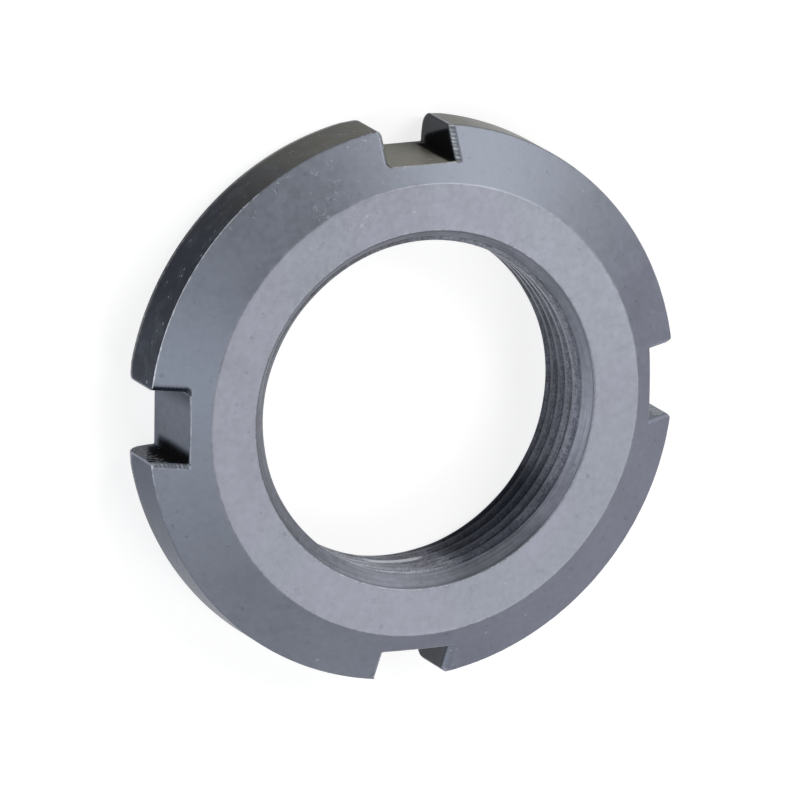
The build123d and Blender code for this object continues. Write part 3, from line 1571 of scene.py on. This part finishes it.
@dataclass(frozen=True)
class BlackenedSteel:
    """Blackened and lubricated turned steel, darker on the rim, and darker in the slots partly as
    painted shade.

    Colours are linear. The turned faces are half bare, and the coat is whole elsewhere.
    Light and shade are painted on some sides of the face, countersink and rim, in the slot
    walls and inner corners, and in the thread. The depths and grains say how strongly a noise
    changes the colour, and the shares how much a mark covers.
    """

    cool: Color = (0.294, 0.311, 0.355, 1.0)
    violet: Color = (0.309, 0.318, 0.371, 1.0)
    bevel_blue: Color = (0.280, 0.302, 0.352, 1.0)
    bevel_violet: Color = (0.283, 0.296, 0.366, 1.0)
    rim_cool: Color = (0.010, 0.017, 0.034, 1.0)
    # rim_pale is a painted reflection and rim_warm painted light, each on one side of the rim
    rim_pale: Color = (0.100, 0.118, 0.165, 1.0)
    rim_warm: Color = (0.080, 0.076, 0.058, 1.0)
    dust: Color = (0.17, 0.19, 0.235, 1.0)
    # slot_coat is the black coat, darker on the slot walls than on their floors as painted shade
    slot_coat: Color = (0.014, 0.022, 0.038, 1.0)
    floor_cool: Color = (0.20, 0.22, 0.262, 1.0)
    # floor_warm makes the slot floors lighter and yellower on the lit side, partly painted light
    floor_warm: Color = (0.27, 0.263, 0.22, 1.0)
    thread_steel: Color = (0.32, 0.33, 0.375, 1.0)
    # groove is the colour of painted shade in the thread's roots
    groove: Color = (0.045, 0.048, 0.058, 1.0)
    # oil is the colour of the painted shade laid over the thread
    oil: Color = (0.045, 0.050, 0.068, 1.0)
    # The near-black colour of the painted shade in the slots
    soot: Color = (0.001, 0.001, 0.0015, 1.0)
    bare: Color = (0.62, 0.64, 0.68, 1.0)
    stain: Color = (0.12, 0.13, 0.16, 1.0)
    face_roughness: float = 0.5
    coat_roughness: float = 0.3
    dark_roughness: float = 0.45
    floor_roughness: float = 0.45
    wall_roughness: float = 0.16
    soot_roughness: float = 0.95
    thread_roughness: float = 0.42
    film_roughness: float = 0.6
    uneven_roughness: float = 0.3
    face_metal: float = 0.7
    cone_metal: float = 0.45
    thread_metal: float = 0.8
    specular: float = 0.08
    mottle_depth: float = 1.0
    cone_grain: float = 0.9
    thread_grain: float = 1.5
    thread_dust: float = 2.2
    # bright_gain paints light on one side of the face
    bright_gain: float = 0.12
    stain_share: float = 0.4
    # mouth_groove and mouth_fade ease the painted shade in the thread's roots near the front mouth
    mouth_groove: float = 0.25
    mouth_fade: tuple[float, float] = (4.2, 4.9)
    # cone_fade, bright_cone, pale_cone and shaded_cone paint shade on the countersink by side
    cone_fade: tuple[float, float] = (5.3, 5.75)
    bright_cone: tuple[float, float] = (0.02, 0.4)
    pale_cone: float = 0.13
    shaded_cone: float = 0.3
    # thread_tones paints the thread darker deeper in the bore, as shade
    thread_tones: tuple[float, float] = (0.88, 1.2)
    darkest_lines: float = 0.1
    # dark_rim paints the rim darker on its shaded side
    dark_rim: float = 0.7
    dust_film: float = 0.2
    dust_specks: float = 0.75
    dust_shares: tuple[float, float] = (0.9, 0.6)
    bevel_mottle: float = 0.5
    curl_shares: tuple[float, float] = (0.03, 0.8)
    face_curls: float = 0.4
    fleck_shares: tuple[float, float] = (0.22, 0.4)
    dot_shares: tuple[float, float] = (0.3, 0.5)
    relief: float = 0.004
    relief_strength: float = 0.5
    grain_relief: float = 0.6

    def turned(self, on: Surface) -> Value:
        """Colour of the face, bevel and bore before the coat, with painted light and shade on some sides and
        in the thread.

        Args:
            on: Masks and effects.

        Returns:
            The colour.
        """
        # The face is painted lighter on its lit side
        face = on.drift.mix(self.cool, self.violet).scaled(on.bright * self.bright_gain + 1.0)
        color = on.bevel.mix(face, on.oiled.mix(self.bevel_blue, self.bevel_violet))
        color = ((on.stains | on.creases) * self.stain_share).mix(color, self.stain)
        color = on.thread.mix(color, self.thread_steel)
        # Painted shade in the thread's roots, less near the front mouth, under a layer of painted shade on
        # the thread's shaded sides
        groove = on.groove * on.height.span(*self.mouth_fade).mix(1.0, self.mouth_groove)
        color = on.film.mix(groove.mix(color, self.groove), self.oil)

        # Turning lines on the countersink, with painted shade on three sides, and dusty lines in the thread,
        # painted darker deeper in the bore
        deep = ~on.height.span(*self.cone_fade)
        cone = (on.grain - 0.6) * self.cone_grain + 1.0 - on.bright * deep.mix(*self.bright_cone)
        cone = cone - on.pale * self.pale_cone - on.shade * self.shaded_cone
        thread = on.streaks.uneven(self.thread_grain) * on.powder.uneven(self.thread_dust)
        lines = on.bore.mix(1.0, on.thread.mix(cone, thread * on.front.mix(*self.thread_tones)))
        return color.scaled(lines | self.darkest_lines)

    def color(self, on: Surface) -> Value:
        """Colour of the whole nut.

        Args:
            on: Masks and effects.

        Returns:
            The colour, with the coat, dust, painted shade in the slots, painted light and shade on the rim,
            and bare metal over the turned steel.
        """
        # The rim is painted lighter and yellower on its lit side, carries a painted reflection on the pale
        # side, and is painted darker on its shaded side
        side = on.warm.mix(on.pale.mix(self.rim_cool, self.rim_pale), self.rim_warm)
        color = on.rim.mix(self.turned(on), side.scaled(on.dark.mix(1.0, self.dark_rim)))
        # Slot floors are lighter and yellower on the lit side, partly painted light
        floor = on.warm.mix(self.floor_cool, self.floor_warm)
        # The slot walls take the black coat, darker than the floors as painted shade
        color = on.slot.mix(color, on.wall.mix(floor, self.slot_coat))
        dusty = on.smears * (on.dust * self.dust_specks + self.dust_film)
        dusty = dusty * on.coated * on.dark.mix(*self.dust_shares)
        # Painted shade blackens the slots' inner corners
        color = on.soot.mix(dusty.mix(color, self.dust), self.soot)
        mottle_depth = on.bevel.mix(self.mottle_depth, self.bevel_mottle)
        color = color.scaled((on.tone - 0.5) * mottle_depth + 1.0)
        curls = on.curls * on.bevel.mix(self.face_curls, 1.0) * on.marked.mix(*self.curl_shares)
        flecks = on.dust * on.smears * on.coated.mix(0.0, on.dark.mix(*self.fleck_shares))
        bare = on.worn | on.dots * on.coated.mix(*self.dot_shares) | curls | flecks
        return bare.mix(color, self.bare)

    def roughness(self, on: Surface) -> Value:
        """Roughness of the whole nut.

        Args:
            on: Masks and effects.

        Returns:
            The roughness.
        """
        rough = on.thread.mix(self.face_roughness, on.film.mix(self.thread_roughness, self.film_roughness))
        rough = on.coated.mix(rough, on.dark.mix(self.coat_roughness, self.dark_roughness))
        rough = on.slot.mix(rough, on.wall.mix(self.floor_roughness, self.wall_roughness))
        return on.soot.mix((on.tone - 0.5) * self.uneven_roughness + rough, self.soot_roughness)

    def material(self) -> bpy.types.Material:
        """The finish as a Blender material.

        Returns:
            The material, which reads the masks of Zone from the mesh.
        """
        made = bpy.data.materials.new("blackened_steel")
        made.use_nodes = True
        shader = made.node_tree.nodes["Principled BSDF"]
        on = Surface(made.node_tree)
        metal = on.thread.mix(on.bore.mix(self.face_metal, self.cone_metal), self.thread_metal)
        feed(shader.inputs["Base Color"], self.color(on))
        feed(shader.inputs["Roughness"], self.roughness(on))
        feed(shader.inputs["Metallic"], (on.coated | on.film).mix(metal, 0.0))
        shader.inputs["Specular IOR Level"].default_value = self.specular

        bump = add_node(made.node_tree, "Bump")
        bump.inputs["Strength"].default_value = self.relief_strength
        bump.inputs["Distance"].default_value = self.relief * MM
        feed(bump.inputs["Height"], on.grain * self.grain_relief + on.tone)
        feed(shader.inputs["Normal"], Value(bump.outputs[0]))
        return made


# Studio


@dataclass
class PhotoCamera:
    """Camera at the photograph's viewing angle."""

    aim: Triple = (-0.296, -0.092, 3.0)
    distance: float = 1032.62
    azimuth: float = 147.136
    elevation: float = 62.633
    roll: float = 120.518
    lens: float = 828.99
    sensor: float = 36.0
    clip: tuple[float, float] = (0.05, 20.0)

    def build(self) -> bpy.types.Object:
        """Make the camera and set it as the scene's own.

        Returns:
            The camera.
        """
        roll = math.radians(self.roll)
        back = direction(self.azimuth, self.elevation)
        side = (-back).cross(Vector((0, 0, 1))).normalized()
        up = side.cross(-back) * math.cos(roll) - side * math.sin(roll)
        right = (-back).cross(up)
        data = bpy.data.cameras.new("photo_camera")
        data.lens, data.sensor_width = self.lens, self.sensor
        data.clip_start, data.clip_end = self.clip
        camera = placed("photo_camera", data)
        place = (Vector(self.aim) + back * self.distance) * MM
        camera.matrix_world = Matrix.Translation(place) @ Matrix((right, up, back)).transposed().to_4x4()
        bpy.context.scene.camera = camera
        return camera


@dataclass(frozen=True)
class Lamp:
    """One soft lamp, aimed at the nut."""

    name: str
    azimuth: float
    elevation: float
    strength: float
    tint: Triple = (1.0, 1.0, 1.0)
    distance: float = 500.0
    size: float = 260.0

    def build(self) -> bpy.types.Object:
        """Hang the lamp with its disc turned to the nut.

        Returns:
            The lamp.
        """
        toward = direction(self.azimuth, self.elevation)
        data = bpy.data.lights.new(self.name, "AREA")
        data.shape = "DISK"
        data.size = self.size * MM
        data.color = self.tint
        data.energy = self.strength * (math.pi * self.distance * MM) ** 2
        lamp = placed(self.name, data)
        lamp.location = toward * self.distance * MM
        lamp.rotation_mode = "QUATERNION"
        lamp.rotation_quaternion = toward.to_track_quat("Z", "Y")
        return lamp


@dataclass
class Studio:
    """Pale floor, pale surroundings and soft lamps."""

    floor_radius: float = 2000.0
    floor_sides: int = 96
    floor_gap: float = 0.01
    floor_color: Color = (0.35, 0.35, 0.35, 1.0)
    floor_roughness: float = 0.9
    floor_glow: float = 0.8
    white: Color = (1.0, 1.0, 1.0, 1.0)
    ambient: float = 0.03
    lamps: tuple[Lamp, ...] = (
        Lamp("key_lamp", 45.0, 52.0, 0.379),
        Lamp("fill_lamp", 315.0, 52.0, 0.323),
        Lamp("side_lamp", 34.0, 31.0, 0.135),
        Lamp("low_side_lamp", 60.0, 14.0, 0.116, size=200.0),
        Lamp("rear_lamp", 180.0, 52.0, 0.142, tint=(0.96, 1.0, 1.06)),
        Lamp("low_rear_lamp", 180.0, 14.0, 0.30, tint=(0.96, 1.0, 1.06), size=200.0),
        Lamp("left_lamp", 228.0, 38.0, 0.088, tint=(0.98, 1.0, 1.03)),
        Lamp("low_left_lamp", 276.0, 20.0, 0.050, tint=(0.98, 1.0, 1.03)),
    )

    def floor_material(self) -> bpy.types.Material:
        """Pale matt floor, lifted to white where it is seen, mirrored or seen through glass.

        Returns:
            The material, which lights nothing with its glow.
        """
        made = bpy.data.materials.new("pale_floor")
        made.use_nodes = True
        shader = made.node_tree.nodes["Principled BSDF"]
        shader.inputs["Base Color"].default_value = self.floor_color
        shader.inputs["Roughness"].default_value = self.floor_roughness
        shader.inputs["Specular IOR Level"].default_value = 0.0
        shader.inputs["Emission Color"].default_value = self.white
        path = add_node(made.node_tree, "LightPath").outputs
        seen = Value(path["Is Camera Ray"]) | Value(path["Is Glossy Ray"])
        seen = seen | Value(path["Is Transmission Ray"])
        feed(shader.inputs["Emission Strength"], seen * self.floor_glow)
        return made

    def build_floor(self) -> bpy.types.Object:
        """Lay the floor just under the nut's back face.

        Returns:
            The floor.
        """
        angle = np.arange(self.floor_sides) * math.tau / self.floor_sides
        ring = lift(polar(self.floor_radius, angle), 0.0) * MM
        mesh = bpy.data.meshes.new("studio_floor")
        mesh.from_pydata(ring, [], [tuple(range(self.floor_sides))])
        floor = placed("studio_floor", mesh)
        floor.location.z = -self.floor_gap * MM
        mesh.materials.append(self.floor_material())
        return floor

    def build_world(self) -> bpy.types.World:
        """Surround the set with soft ambient light.

        Returns:
            The world.
        """
        world = bpy.data.worlds.new("studio_world")
        world.use_nodes = True
        light = world.node_tree.nodes["Background"]
        light.inputs["Color"].default_value = self.white
        light.inputs["Strength"].default_value = self.ambient
        bpy.context.scene.world = world
        return world

    def build(self) -> None:
        """Set up the floor, the surroundings and the lamps."""
        self.build_floor()
        self.build_world()
        for lamp in self.lamps:
            lamp.build()


def main() -> None:
    """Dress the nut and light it."""
    logging.basicConfig(level=logging.INFO, format="%(name)s: %(message)s")
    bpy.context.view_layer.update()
    bpy.context.scene.view_settings.view_transform = "Standard"
    nut = LockNut().build()
    nut.data.materials.append(BlackenedSteel().material())
    LOG.info("nut_body: %d vertices, %d faces", len(nut.data.vertices), len(nut.data.polygons))
    PhotoCamera().build()
    Studio().build()


if __name__ == "__main__":
    main()
